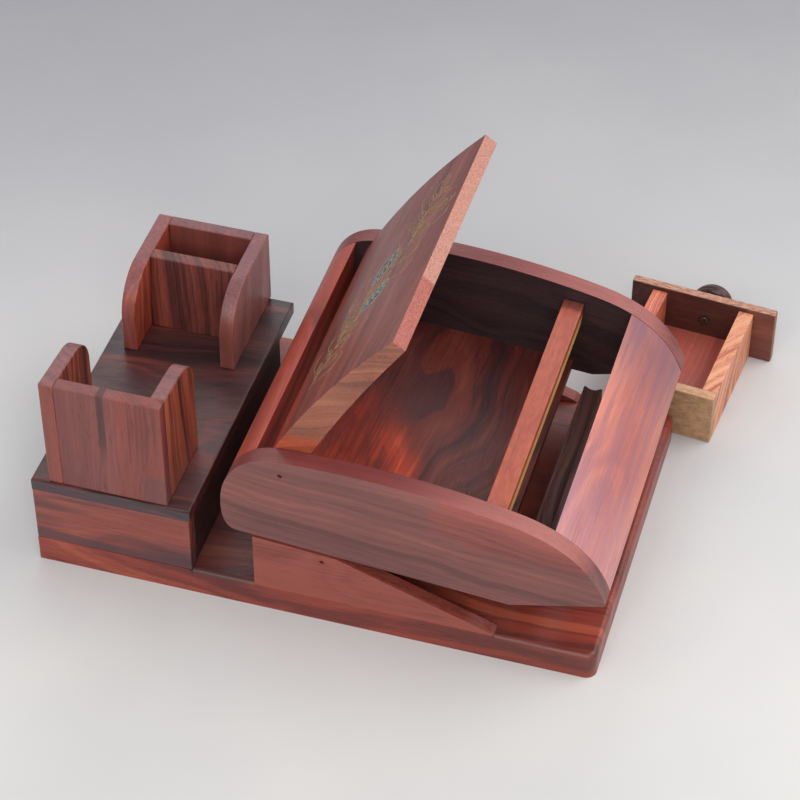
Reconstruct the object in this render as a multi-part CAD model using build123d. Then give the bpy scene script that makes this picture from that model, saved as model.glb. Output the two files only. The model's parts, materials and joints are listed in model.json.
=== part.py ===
from build123d import *
import math
import os

# A rosewood desk box. A flat base carries a low housing with two open holders on top,
# and a wing-shaped box that rocks on pins between two wedges. A lid, hinged on two brads,
# closes the box's compartment, and a small drawer belongs in the housing's rear mouth.
# Millimetres. Origin: centre of the base's underside. +X along the long side, +Z up.

# ---------------------------------------------------------------- driving sizes
BASE_X, BASE_Y, BASE_Z = 160.0, 100.0, 8.5
BASE_CORNER_R = 3.0
BASE_EDGE_R = 1.6

HOUSING_X = 45.6            # width of the drawer housing, from the base's left edge
HOUSING_BODY_Y = 78.7       # depth of its side boards, front face to rear mouth
HOUSING_TOP_Y = 90.6        # the top board overhangs the mouth
HOUSING_TOP_Z = 31.2        # height of the top board's upper face
TOP_BOARD_T = 4.0
TOP_OVERHANG_X = 0.4
FRONT_BOARD_T = 4.0
SIDE_BOARD_T = 6.4

CHEEK_T = 4.2               # cheeks of the two holders
HOLDER_BOARD_T = 3.8
FRONT_HOLDER_X = (-74.8, -40.4)
FRONT_HOLDER_Y = (-49.5, -24.4)
FRONT_HOLDER_H = 36.0
FRONT_CHEEK_DROP = 2.6      # fall of the cheek's top towards the rear
FRONT_CHEEK_R = 9.0
REAR_HOLDER_X = (-74.6, -41.0)
REAR_HOLDER_Y = (7.4, 41.2)
REAR_HOLDER_H = 23.7
REAR_CHEEK_R = 13.0
REAR_HOLDER_FRONT_Y = (19.4, 22.0)  # its front board leans back: foot and top

PIVOT_X, PIVOT_Z = 3.4, 22.8    # axis of the rocking box's pins
REST_TILT = 4.7                 # the box's floor falls this many degrees to the right
WEDGE_T = 4.0
WEDGE_LEFT_X = -16.2
WEDGE_APEX = (7.2, 25.2)        # a millimetre under the box's underside at rest
WEDGE_TOE = (50.5, 9.4)

BLADE_X = (55.2, 60.6)
BLADE_HALF_Y = 36.0
BLADE_TOP_Z = 25.3
BLADE_HOLLOW = 0.9              # depth of the hollow along its top

PANEL_T = 5.4                   # side panels of the rocking box
BOX_HALF_Y = 50.0
INNER_HALF_Y = BOX_HALF_Y - PANEL_T

# The rocking box is drawn with its pivot at (0, 0) and its underside level.
UNDERSIDE = 3.7
FLOOR_T = 3.5
HEEL_X = -24.5                  # where the underside meets the rounded left end
LEFT_END = (-29.4, 15.2)
SHOULDER = (-15.0, 33.2)
CROWN = (17.0, 35.5)
BROW = (50.0, 33.0)
TIP = (77.0, 14.0)
TIP_LOW = (75.8, 12.3)
CHAMFER_X = 52.0                # where the underside turns up towards the tip
WALL_INNER_X = -21.7
FLOOR_END_X = 46.0
NOSE_LEFT_X = 60.2

DIVIDER_X = (40.4, 46.4)
DIVIDER_TOP = 29.55
DIVIDER_STEP_Z = 21.6
DIVIDER_STEP = 1.0
DIVIDER_GAP = 9.2               # clear height under the divider, above the floor

BEAM_HALF_X = 4.0
BEAM_DEPTH = 7.6
BEAM_HALF_Y = 45.8

LID_PIN = (-13.4, 28.5)
LID_OPEN = 59.0                 # degrees open from closed
LID_FREE_X = 44.4
LID_HINGE_X = -16.4
LID_HINGE_OUT = (-18.3, 29.0)
LID_UNDER_LEFT = (-11.5, 24.8)
LID_UNDER_MID = (19.9, 28.6)
LID_UNDER_RIGHT_Z = 29.75
LID_HALF_Y = 44.3
INLAY_T = 0.5

BRAD_R = 0.6
BRAD_HOLE_R = 0.65
BRAD_SINK = 0.6                 # brads end this far inside the outer faces
BRAD_IN = 6.5                   # how far they reach into the lid or the beam

DRAWER_CORNER = (91.0, 49.3)    # near right corner of the drawer, standing on the table
DRAWER_YAW = -5.5
DRAWER_X = 31.6
DRAWER_LENGTH = 40.8            # near face to the inner side of the front
DRAWER_H = 17.2
DRAWER_SIDE_T = 4.5
DRAWER_BACK_T = 3.4
DRAWER_FLOOR_Z = (1.2, 4.2)      # the floor sits up between the sides
FACE_X, FACE_T, FACE_H = 45.0, 2.8, 18.6
KNOB_X, KNOB_Z = 1.0, 10.0      # the knob is a little off centre
KNOB_R = 6.3
KNOB_NECK_R = 2.3
KNOB_NECK_L = 3.2
KNOB_L = 11.4
SCREW_R = 1.0
SCREW_HEAD_R = 1.6
SCREW_HEAD_T = 0.9

NODES = {}


def block(x0, x1, y0, y1, z0, z1):
    """Box between two opposite corners."""
    corner = Pos(x0, y0, z0)
    return corner * Box(x1 - x0, y1 - y0, z1 - z0, align=(Align.MIN, Align.MIN, Align.MIN))


def line_xz(a, b):
    return Line((a[0], 0, a[1]), (b[0], 0, b[1]))


def arc_xz(a, b, c):
    return ThreePointArc((a[0], 0, a[1]), (b[0], 0, b[1]), (c[0], 0, c[1]))


def plate_xz(edges, y0, y1):
    """Solid with an outline drawn in XZ, from y0 to y1."""
    return Pos(0, y0, 0) * extrude(make_face(edges), amount=y1 - y0, dir=(0, 1, 0))


def plate_yz(points, x0, x1):
    """Straight-edged solid with an outline drawn in YZ, from x0 to x1."""
    corners = [(0, y, z) for y, z in points]
    outline = Polyline(*corners, close=True)
    return Pos(x0, 0, 0) * extrude(make_face(outline.edges()), amount=x1 - x0, dir=(1, 0, 0))


def rod_y(x, z, radius, y0, y1):
    """Cylinder along Y."""
    ends = (Align.CENTER, Align.CENTER, Align.MIN)
    return Pos(x, y0, z) * Rot(-90, 0, 0) * Cylinder(radius, y1 - y0, align=ends)


def edges_along(part, axis):
    return part.edges().filter_by(axis)


def edge_at(part, axis, **near):
    """Edges along an axis whose centre has the given coordinates."""
    found = []
    for edge in part.edges().filter_by(axis):
        centre = edge.center()
        place = {"x": centre.X, "y": centre.Y, "z": centre.Z}
        if all(abs(place[name] - value) < 0.01 for name, value in near.items()):
            found.append(edge)
    return found


# ---------------------------------------------------------------- base and housing
def base_board():
    """Rounded along its free edges, and square where the housing and wedges stand flush."""
    left, front, back = -BASE_X / 2, -BASE_Y / 2, BASE_Y / 2
    board = block(left, -left, front, back, 0, BASE_Z)
    board = fillet(edges_along(board, Axis.Z), BASE_CORNER_R)
    rims = board.edges().group_by(Axis.Z)[-1]
    board = fillet(rims, BASE_EDGE_R)
    foot = WEDGE_TOE[0] + 1.2
    housing_seat = block(left, left + HOUSING_X, front, front + HOUSING_BODY_Y, 0, BASE_Z)
    front_seat = block(WEDGE_LEFT_X, foot, front, front + WEDGE_T, 0, BASE_Z)
    rear_seat = block(WEDGE_LEFT_X, foot, back - WEDGE_T, back, 0, BASE_Z)
    return board + housing_seat + front_seat + rear_seat


def housing_boards():
    left, front = -BASE_X / 2, -BASE_Y / 2
    right = left + HOUSING_X
    low, high = BASE_Z, HOUSING_TOP_Z - TOP_BOARD_T
    back = front + HOUSING_BODY_Y
    inner = front + FRONT_BOARD_T
    NODES["housing_front_board"] = block(left, right, front, inner, low, high)
    NODES["housing_left_board"] = block(left, left + SIDE_BOARD_T, inner, back, low, high)
    NODES["housing_right_board"] = block(right - SIDE_BOARD_T, right, inner, back, low, high)
    top = block(left, right + TOP_OVERHANG_X, front, front + HOUSING_TOP_Y, high, HOUSING_TOP_Z)
    top = fillet(top.edges().group_by(Axis.Z)[-1], 0.6)
    NODES["housing_top_board"] = top


def front_holder():
    """The left cheek runs through to the front, and the right one butts behind the board."""
    x0, x1 = FRONT_HOLDER_X
    y0, y1 = FRONT_HOLDER_Y
    low, high = HOUSING_TOP_Z, HOUSING_TOP_Z + FRONT_HOLDER_H
    slope = FRONT_CHEEK_DROP / (y1 - y0)
    behind = y0 + HOLDER_BOARD_T
    for name, x, start in (("left", x0, y0), ("right", x1 - CHEEK_T, behind)):
        top = high - slope * (start - y0)
        outline = [(start, low), (y1, low), (y1, high - FRONT_CHEEK_DROP), (start, top)]
        cheek = plate_yz(outline, x, x + CHEEK_T)
        crown = edge_at(cheek, Axis.X, y=y1, z=high - FRONT_CHEEK_DROP)
        NODES["front_holder_" + name + "_cheek"] = fillet(crown, FRONT_CHEEK_R)
    NODES["front_holder_board"] = block(x0 + CHEEK_T, x1, y0, behind, low, high)


def rear_holder():
    x0, x1 = REAR_HOLDER_X
    y0, y1 = REAR_HOLDER_Y
    low, high = HOUSING_TOP_Z, HOUSING_TOP_Z + REAR_HOLDER_H
    outline = [(y0, low), (y1, low), (y1, high), (y0 + 0.6, high)]
    for name, x in (("left", x0), ("right", x1 - CHEEK_T)):
        cheek = plate_yz(outline, x, x + CHEEK_T)
        brow = edge_at(cheek, Axis.X, y=y0 + 0.6, z=high)
        NODES["rear_holder_" + name + "_cheek"] = fillet(brow, REAR_CHEEK_R)
    inner0, inner1 = x0 + CHEEK_T, x1 - CHEEK_T
    foot, top = REAR_HOLDER_FRONT_Y
    leaning = [(foot, low), (foot + HOLDER_BOARD_T, low), (top + HOLDER_BOARD_T, high), (top, high)]
    NODES["rear_holder_front_board"] = plate_yz(leaning, inner0, inner1)
    NODES["rear_holder_back_board"] = block(
        inner0, inner1, y1 - HOLDER_BOARD_T, y1, low, high
    )


def wedges():
    """Two wedges: a flat the box sits over at rest, and a slope it comes down to."""
    slope = math.tan(math.radians(REST_TILT))
    flat_left_z = WEDGE_APEX[1] + (WEDGE_APEX[0] - WEDGE_LEFT_X) * slope
    corners = [
        (WEDGE_LEFT_X, BASE_Z),
        (WEDGE_LEFT_X, flat_left_z),
        WEDGE_APEX,
        WEDGE_TOE,
        (WEDGE_TOE[0] + 1.2, BASE_Z),
    ]
    edges = [line_xz(a, b) for a, b in zip(corners, corners[1:] + corners[:1])]
    half = BASE_Y / 2
    for name, y in (("front_wedge", -half), ("rear_wedge", half - WEDGE_T)):
        wedge = plate_xz(edges, y, y + WEDGE_T)
        hole = rod_y(PIVOT_X, PIVOT_Z, BRAD_HOLE_R, y - 1, y + WEDGE_T + 1)
        NODES[name] = wedge - hole


def lifter_blade():
    """Upright board under the box's slot. Its hollow top carries one stick."""
    x0, x1 = BLADE_X
    blade = block(x0, x1, -BLADE_HALF_Y, BLADE_HALF_Y, BASE_Z, BLADE_TOP_Z)
    half = (x1 - x0) / 2 - 0.7
    radius = (half * half + BLADE_HOLLOW * BLADE_HOLLOW) / (2 * BLADE_HOLLOW)
    centre_z = BLADE_TOP_Z + radius - BLADE_HOLLOW
    reach = BLADE_HALF_Y + 1
    NODES["lifter_blade"] = blade - rod_y((x0 + x1) / 2, centre_z, radius, -reach, reach)


# ---------------------------------------------------------------- rocking box
def box_place():
    """From the box's own frame to where it stands."""
    return Pos(PIVOT_X, 0, PIVOT_Z) * Rot(0, REST_TILT, 0)


def top_arc():
    return arc_xz(SHOULDER, CROWN, BROW)


def blend(start, leaving, end, arriving, pull_start, pull_end):
    """Smooth curve between two points, with its direction given at both ends."""
    a, b = Vector(start[0], 0, start[1]), Vector(end[0], 0, end[1])
    out, back = Vector(leaving).normalized(), Vector(arriving).normalized()
    return Bezier(a, a + out * pull_start, b - back * pull_end, b)


def box_outline():
    heel = (HEEL_X, UNDERSIDE)
    left_low = blend(heel, (-1, 0, 0), LEFT_END, (0, 0, 1), 3.6, 6.0)
    left_high = blend(LEFT_END, (0, 0, 1), SHOULDER, top_arc() % 0, 7.3, 10.6)
    nose = blend(BROW, top_arc() % 1, TIP, (0.4, 0, -0.92), 14.0, 11.0)
    tip = arc_xz(TIP, (77.0, 12.9), TIP_LOW)
    chamfer = line_xz(TIP_LOW, (CHAMFER_X, UNDERSIDE))
    under = line_xz((CHAMFER_X, UNDERSIDE), heel)
    return [left_low, left_high, top_arc(), nose, tip, chamfer, under]


def brad_holes(part, centre):
    """Running holes for the brads through the side panels."""
    reach = BOX_HALF_Y + 1
    return part - rod_y(centre[0], centre[1], BRAD_HOLE_R, -reach, reach)


def box_panels(place):
    outline = box_outline()
    for name, y in (("box_front_panel", -BOX_HALF_Y), ("box_rear_panel", INNER_HALF_Y)):
        panel = plate_xz(outline, y, y + PANEL_T)
        NODES[name] = place * brad_holes(panel, LID_PIN)


def box_ends(place):
    """Rounded left wall and the nose, both cut from the box's outline."""
    core = plate_xz(box_outline(), -INNER_HALF_Y, INNER_HALF_Y)
    far, tall = 90.0, 60.0
    wall_zone = block(-far, WALL_INNER_X, -far, far, -tall, tall)
    nose_zone = block(NOSE_LEFT_X, far, -far, far, -tall, tall)
    NODES["box_left_wall"] = place * (core & wall_zone)
    NODES["box_nose"] = place * (core & nose_zone)


def box_floor(place):
    floor = block(
        WALL_INNER_X, FLOOR_END_X, -INNER_HALF_Y, INNER_HALF_Y, UNDERSIDE, UNDERSIDE + FLOOR_T
    )
    NODES["box_floor"] = place * floor


def box_divider(place):
    """Bar the lid closes onto. Sticks roll under it, one layer at a time."""
    x0, x1 = DIVIDER_X
    low = UNDERSIDE + FLOOR_T + DIVIDER_GAP
    upper = block(x0, x1, -INNER_HALF_Y, INNER_HALF_Y, DIVIDER_STEP_Z, DIVIDER_TOP)
    lower = block(x0, x1 - DIVIDER_STEP, -INNER_HALF_Y, INNER_HALF_Y, low, DIVIDER_STEP_Z)
    NODES["box_divider"] = place * (upper + lower)


def pivot_beam(place):
    """Beam glued under the floor, between the wedges, with a brad in each end."""
    low = UNDERSIDE - BEAM_DEPTH
    beam = block(-BEAM_HALF_X, BEAM_HALF_X, -BEAM_HALF_Y, BEAM_HALF_Y, low, UNDERSIDE)
    outer = BOX_HALF_Y - BRAD_SINK
    inner = BEAM_HALF_Y - BRAD_IN
    front = rod_y(0, 0, BRAD_R, -outer, -inner)
    rear = rod_y(0, 0, BRAD_R, inner, outer)
    NODES["pivot_beam"] = place * (beam - front - rear)
    NODES["pivot_brads"] = place * Compound(children=[front, rear])


# ---------------------------------------------------------------- lid
def lid_outline():
    """Thick at the hinge, thin at the free edge, its top flush with the panels' tops."""
    top = top_arc()
    share_hinge = arc_share(top, LID_HINGE_X)
    share_free = arc_share(top, LID_FREE_X)
    hinge = top @ share_hinge
    crown = top @ ((share_hinge + share_free) / 2)
    free = top @ share_free
    upper = ThreePointArc(hinge, crown, free)
    under_right = (LID_FREE_X, LID_UNDER_RIGHT_Z)
    edge = line_xz((free.X, free.Z), under_right)
    under = arc_xz(under_right, LID_UNDER_MID, LID_UNDER_LEFT)
    end = arc_xz(LID_UNDER_LEFT, LID_HINGE_OUT, (hinge.X, hinge.Z))
    return [upper, edge, under, end]


def arc_share(arc, x):
    """Share of an arc's length at which it reaches x, by halving."""
    low, high = 0.0, 1.0
    for _ in range(40):
        middle = (low + high) / 2
        if (arc @ middle).X < x:
            low = middle
        else:
            high = middle
    return (low + high) / 2


def leaf(x, y, length, width, angle):
    """Tall prism with a leaf's outline, for cutting the inlay."""
    half = length / 2
    upper = ThreePointArc((-half, 0, 0), (0, width / 2, 0), (half, 0, 0))
    lower = ThreePointArc((half, 0, 0), (0, -width / 2, 0), (-half, 0, 0))
    return Pos(x, y, 0) * Rot(0, 0, angle) * extrude(make_face([upper, lower]), amount=60)


def lid(place):
    body = plate_xz(lid_outline(), -LID_HALF_Y, LID_HALF_Y)
    skin = body - Pos(0, 0, -INLAY_T) * body
    leaves = leaf(18.5, -6.9, 13.0, 6.4, 30.0) + leaf(17.1, 6.8, 13.0, 7.4, 50.0)
    inlay = skin & leaves
    body = body - inlay
    outer = BOX_HALF_Y - BRAD_SINK
    inner = LID_HALF_Y - BRAD_IN
    front = rod_y(LID_PIN[0], LID_PIN[1], BRAD_R, -outer, -inner)
    rear = rod_y(LID_PIN[0], LID_PIN[1], BRAD_R, inner, outer)
    swing = Pos(LID_PIN[0], 0, LID_PIN[1]) * Rot(0, -LID_OPEN, 0) * Pos(-LID_PIN[0], 0, -LID_PIN[1])
    NODES["lid_panel"] = place * swing * (body - front - rear)
    NODES["lid_leaf_inlay"] = place * swing * inlay
    NODES["lid_brads"] = place * swing * Compound(children=[front, rear])


# ---------------------------------------------------------------- drawer
def drawer_place():
    """From the drawer's frame (near face's centre, on the table) to where it stands."""
    yaw = math.radians(DRAWER_YAW)
    x = DRAWER_CORNER[0] - DRAWER_X / 2 * math.cos(yaw)
    y = DRAWER_CORNER[1] - DRAWER_X / 2 * math.sin(yaw)
    return Pos(x, y, 0) * Rot(0, 0, DRAWER_YAW)


def drawer(place):
    half = DRAWER_X / 2
    inner = half - DRAWER_SIDE_T
    boards = {
        "drawer_back": (-half, half, 0, DRAWER_BACK_T, 0, DRAWER_H),
        "drawer_left_side": (-half, -inner, DRAWER_BACK_T, DRAWER_LENGTH, 0, DRAWER_H),
        "drawer_right_side": (inner, half, DRAWER_BACK_T, DRAWER_LENGTH, 0, DRAWER_H),
        "drawer_floor": (-inner, inner, DRAWER_BACK_T, DRAWER_LENGTH, *DRAWER_FLOOR_Z),
    }
    for name, corners in boards.items():
        NODES[name] = place * block(*corners)
    face = block(
        -FACE_X / 2, FACE_X / 2, DRAWER_LENGTH, DRAWER_LENGTH + FACE_T, 0, FACE_H
    )
    face = fillet(edges_along(face, Axis.Y), 0.6)
    start = DRAWER_LENGTH
    shank = rod_y(KNOB_X, KNOB_Z, SCREW_R, start - 0.2, start + FACE_T + 6)
    head = rod_y(KNOB_X, KNOB_Z, SCREW_HEAD_R, start - SCREW_HEAD_T, start)
    NODES["drawer_face"] = place * (face - shank)
    NODES["drawer_knob"] = place * (knob() - shank)
    NODES["knob_screw"] = place * (head + shank)


def knob():
    """Turned mushroom knob: a half profile spun about Y, with a domed end."""
    start = DRAWER_LENGTH + FACE_T
    end = start + KNOB_L
    brim = end - KNOB_R
    neck = KNOB_NECK_R
    middle = KNOB_R * math.sqrt(0.5)
    profile = [
        Line((0, start, 0), (neck + 0.8, start, 0)),
        Line((neck + 0.8, start, 0), (neck, start + 1.2, 0)),
        Line((neck, start + 1.2, 0), (neck, start + KNOB_NECK_L, 0)),
        Line((neck, start + KNOB_NECK_L, 0), (KNOB_R, brim, 0)),
        ThreePointArc((KNOB_R, brim, 0), (middle, brim + middle, 0), (0, end, 0)),
        Line((0, end, 0), (0, start, 0)),
    ]
    return Pos(KNOB_X, 0, KNOB_Z) * revolve(make_face(profile), axis=Axis.Y)


def build():
    NODES["base_board"] = base_board()
    housing_boards()
    front_holder()
    rear_holder()
    wedges()
    lifter_blade()
    place = box_place()
    box_panels(place)
    box_ends(place)
    box_floor(place)
    box_divider(place)
    pivot_beam(place)
    lid(place)
    drawer(drawer_place())


build()
os.makedirs("parts", exist_ok=True)
for node, shape in NODES.items():
    export_step(shape, "parts/" + node + ".step")
    print(node, round(shape.volume, 1))
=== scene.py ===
"""Looks for the rosewood desk puzzle box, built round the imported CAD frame.

Every board is given its own cut of one procedural rosewood: a frame in which Z runs along
the grain, a place in the log, and a palette. Metres, in the frame's own axes.
"""

import json
import math

import bmesh
import bpy
from mathutils import Matrix, Vector
from mathutils.bvhtree import BVHTree

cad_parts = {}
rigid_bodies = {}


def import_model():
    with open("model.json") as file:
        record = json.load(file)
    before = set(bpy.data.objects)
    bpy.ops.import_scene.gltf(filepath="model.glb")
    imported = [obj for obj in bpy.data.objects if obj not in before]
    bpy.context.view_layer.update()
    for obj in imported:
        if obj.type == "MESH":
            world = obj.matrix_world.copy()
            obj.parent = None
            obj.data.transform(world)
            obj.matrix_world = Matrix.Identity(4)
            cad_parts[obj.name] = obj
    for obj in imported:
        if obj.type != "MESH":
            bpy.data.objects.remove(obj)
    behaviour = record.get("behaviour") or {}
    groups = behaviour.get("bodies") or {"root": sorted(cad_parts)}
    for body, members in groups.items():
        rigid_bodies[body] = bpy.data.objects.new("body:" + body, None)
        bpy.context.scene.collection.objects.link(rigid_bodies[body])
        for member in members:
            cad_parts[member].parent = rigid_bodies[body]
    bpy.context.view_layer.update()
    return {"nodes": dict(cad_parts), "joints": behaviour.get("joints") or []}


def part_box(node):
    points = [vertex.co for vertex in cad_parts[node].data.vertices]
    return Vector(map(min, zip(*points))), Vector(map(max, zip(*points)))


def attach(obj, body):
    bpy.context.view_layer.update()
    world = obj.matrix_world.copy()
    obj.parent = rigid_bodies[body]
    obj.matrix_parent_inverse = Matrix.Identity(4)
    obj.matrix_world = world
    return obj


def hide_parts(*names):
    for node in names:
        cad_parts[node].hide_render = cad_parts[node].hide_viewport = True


# Start from an empty scene.
for leftover in list(bpy.data.objects):
    bpy.data.objects.remove(leftover)

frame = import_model()
nodes = frame["nodes"]
joints = {joint["name"]: joint for joint in frame["joints"]}

MM = 0.001
X, Y, Z = Vector((1, 0, 0)), Vector((0, 1, 0)), Vector((0, 0, 1))


# ---------------------------------------------------------------- directions of the moved parts
def turned(vector, angle, axis="Y"):
    """A direction turned about an axis, in degrees."""
    return Matrix.Rotation(math.radians(angle), 3, axis) @ vector


# Degrees: how far the rocking box leans at rest, the open lid with it, and the loose drawer.
BOX_TILT = 4.7
LID_TILT = BOX_TILT - joints["lid_hinge"]["range_deg"][1]
slide = joints["drawer_slide"]["axis"]
DRAWER_YAW = math.degrees(math.atan2(-slide[0], slide[1]))
BOX_ALONG, BOX_UP = turned(X, BOX_TILT), turned(Z, BOX_TILT)
LID_ALONG, LID_OUT = turned(X, LID_TILT), turned(Z, LID_TILT)
DRAWER_ACROSS, DRAWER_ALONG = turned(X, DRAWER_YAW, "Z"), turned(Y, DRAWER_YAW, "Z")
lid_pin = Vector(joints["lid_hinge"]["pos_m"])


# ---------------------------------------------------------------- small helpers
def tone(red, green, blue):
    """Linear colour from 0-255 display values."""
    linear = []
    for channel in (red, green, blue):
        value = channel / 255
        linear.append(value / 12.92 if value <= 0.04045 else ((value + 0.055) / 1.055) ** 2.4)
    return (*linear, 1.0)


class Graph:
    """Short way to add and wire shader nodes."""

    def __init__(self, tree):
        self.tree = tree

    def add(self, kind, values=None, **settings):
        node = self.tree.nodes.new("ShaderNode" + kind)
        for name, value in settings.items():
            setattr(node, name, value)
        for name, value in (values or {}).items():
            socket = node.inputs[name]
            if isinstance(value, bpy.types.NodeSocket):
                self.tree.links.new(value, socket)
            else:
                socket.default_value = value
        return node

    def math(self, operation, first, second=0.0, clamp=False):
        node = self.add("Math", {0: first, 1: second}, operation=operation, use_clamp=clamp)
        return node.outputs[0]

    def noise(self, vector, scale, detail=2.0, roughness=0.5):
        values = {"Vector": vector, "Scale": scale, "Detail": detail, "Roughness": roughness}
        return self.add("TexNoise", values).outputs["Fac"]

    def noise_1d(self, position, scale, detail=2.0):
        values = {"W": position, "Scale": scale, "Detail": detail, "Roughness": 0.55}
        return self.add("TexNoise", values, noise_dimensions="1D").outputs["Fac"]

    def step(self, value, low, high, to_low=0.0, to_high=1.0):
        values = {"Value": value, 1: low, 2: high, 3: to_low, 4: to_high}
        node = self.add("MapRange", values, interpolation_type="SMOOTHSTEP")
        return node.outputs["Result"]

    def mix(self, share, first, second, blend="MIX"):
        node = self.add("Mix", data_type="RGBA", blend_type=blend)
        for name, value in (("Factor_Float", share), ("A_Color", first), ("B_Color", second)):
            socket = next(s for s in node.inputs if s.identifier == name)
            if isinstance(value, bpy.types.NodeSocket):
                self.tree.links.new(value, socket)
            else:
                socket.default_value = value
        return next(s for s in node.outputs if s.identifier == "Result_Color")

    def product(self, *shares):
        """Several fields or numbers multiplied together."""
        result = shares[0]
        for share in shares[1:]:
            result = self.math("MULTIPLY", result, share)
        return result

    def around(self, field, amount):
        """A 0 to 1 field recentred on nought and scaled."""
        return self.math("MULTIPLY", self.math("SUBTRACT", field, 0.5), amount)

    def link(self, output, node, socket):
        self.tree.links.new(output, node.inputs[socket])

    def stretch(self, vector, across, along):
        """Grain-space position scaled differently across and along the grain."""
        node = self.add("VectorMath", {0: vector, 1: (across, across, along)}, operation="MULTIPLY")
        return node.outputs[0]


# ---------------------------------------------------------------- rosewood
def rosewood_sockets(interface):
    """The group's interface. Colours and numbers are what a board gets unless it says otherwise."""
    colours = {
        "Dark": tone(70, 26, 22),
        "Middle": tone(128, 52, 40),
        "Light": tone(160, 78, 56),
        "Ink": tone(36, 18, 20),
    }
    numbers = {
        "Bands": 1.0,
        "Ring Scale": 1.0,
        "Ink Amount": 0.7,
        "Figure": 1.0,
        "Pores": 1.0,
        "Roughness": 0.42,
        "Wear": 0.5,
    }
    interface.new_socket("Grain", in_out="INPUT", socket_type="NodeSocketVector")
    for values, kind in ((colours, "NodeSocketColor"), (numbers, "NodeSocketFloat")):
        for name, value in values.items():
            interface.new_socket(name, in_out="INPUT", socket_type=kind).default_value = value
    interface.new_socket("Color", in_out="OUTPUT", socket_type="NodeSocketColor")
    interface.new_socket("Roughness", in_out="OUTPUT", socket_type="NodeSocketFloat")
    interface.new_socket("Height", in_out="OUTPUT", socket_type="NodeSocketFloat")


def growth_rings(g, given):
    """Distance from the heart of the log, pushed about by slow noise."""
    grain = given["Grain"]
    parts = g.add("SeparateXYZ", {0: grain})
    shift = g.around(g.noise(g.stretch(grain, 14, 9), 1.0, 2.0), 0.022)
    ripple = g.around(g.noise(g.stretch(grain, 45, 16), 1.0, 3.0), 0.007)
    bend = g.product(g.math("ADD", shift, ripple), given["Figure"])
    across = g.product(parts.outputs[0], parts.outputs[0])
    deep = g.product(parts.outputs[1], parts.outputs[1])
    radius = g.math("ADD", g.math("SQRT", g.math("ADD", across, deep)), bend)
    return g.product(radius, given["Ring Scale"])


def ink_figure(g, given, rings, blotch, fibre):
    """Ink-dark lines and patches that follow the rings and come and go."""
    wander = g.math("ADD", rings, g.math("MULTIPLY", blotch, 0.0016))
    crossing = g.math("ABSOLUTE", g.math("SUBTRACT", g.noise_1d(wander, 150.0, 3.0), 0.5))
    thin = g.step(crossing, 0.012, 0.055, 1.0, 0.0)
    patch = g.step(g.noise_1d(g.math("ADD", wander, 1.3), 85.0, 1.0), 0.58, 0.72)
    figure = g.math("MAXIMUM", thin, g.math("MULTIPLY", patch, 0.8))
    present = g.step(g.noise(g.stretch(given["Grain"], 24, 14), 1.0, 1.0), 0.40, 0.60)
    soft = g.product(figure, present, g.step(fibre, 0.15, 0.55, 0.72, 1.0))
    return g.math("MULTIPLY", soft, given["Ink Amount"], clamp=True)


def edge_wear(g, given):
    """Handled edges: where the rounded corner's normal leaves the face's normal."""
    rounded = g.add("Bevel", {"Radius": 0.0011}, samples=3)
    flat = g.add("NewGeometry").outputs["Normal"]
    turn = g.add("VectorMath", {0: rounded.outputs[0], 1: flat}, operation="DOT_PRODUCT")
    edge = g.step(turn.outputs["Value"], 0.80, 0.995, 1.0, 0.0)
    rubbed = g.product(edge, g.step(g.noise(given["Grain"], 260.0, 3.0), 0.38, 0.62))
    return g.math("MULTIPLY", rubbed, given["Wear"], clamp=True)


def rosewood_group():
    """All the wood comes from this group: colour, roughness and relief from grain space."""
    tree = bpy.data.node_groups.new("Rosewood", "ShaderNodeTree")
    rosewood_sockets(tree.interface)
    given = tree.nodes.new("NodeGroupInput").outputs
    leave = tree.nodes.new("NodeGroupOutput")
    g = Graph(tree)
    grain = given["Grain"]

    # Broad and narrow rings, fibres, pores and slow blotches along the grain.
    rings = growth_rings(g, given)
    broad = g.noise_1d(rings, 210.0, 2.0)
    narrow = g.noise_1d(g.math("ADD", rings, 3.7), 900.0, 2.0)
    fibre = g.noise(g.stretch(grain, 1500, 34), 1.0, 3.0, 0.6)
    blotch = g.noise(g.stretch(grain, 60, 20), 1.0, 3.0, 0.55)
    pore_field = g.noise(g.stretch(grain, 3000, 210), 1.0, 1.0, 0.5)
    pores = g.math("MULTIPLY", g.step(pore_field, 0.64, 0.76), given["Pores"], clamp=True)

    # Colour: a level from dark through middle to light, then ink, pores and rubbed edges.
    ringing = g.product(g.math("ADD", g.around(broad, 1.5), g.around(narrow, 0.75)), given["Bands"])
    thread = g.math("ADD", g.around(fibre, 0.85), 0.5)
    level = g.math("ADD", g.math("ADD", ringing, g.around(blotch, 0.9)), thread, clamp=True)
    low = g.mix(g.step(level, 0.12, 0.5), given["Dark"], given["Middle"])
    wood = g.mix(g.step(level, 0.5, 0.95), low, given["Light"])
    wood = g.mix(ink_figure(g, given, rings, blotch, fibre), wood, given["Ink"])
    wood = g.mix(g.math("MULTIPLY", pores, 0.42), wood, given["Ink"])
    bright = g.mix(1.0, wood, (1.55, 1.45, 1.4, 1.0), "MULTIPLY")
    wood = g.mix(edge_wear(g, given), wood, bright)

    # Gloss varies in smears, and pores are duller and sunken.
    smear = g.noise(g.stretch(grain, 90, 60), 1.0, 3.0)
    gloss = g.math("ADD", g.around(smear, 0.26), given["Roughness"])
    gloss = g.math("ADD", gloss, g.math("MULTIPLY", fibre, 0.08))
    gloss = g.math("ADD", gloss, g.math("MULTIPLY", pores, 0.2), clamp=True)
    relief = g.math("SUBTRACT", g.math("MULTIPLY", fibre, 0.55), g.math("MULTIPLY", pores, 0.9))
    relief = g.math("ADD", relief, g.math("MULTIPLY", broad, 0.35))
    g.link(wood, leave, "Color")
    g.link(gloss, leave, "Roughness")
    g.link(relief, leave, "Height")
    return tree


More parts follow.
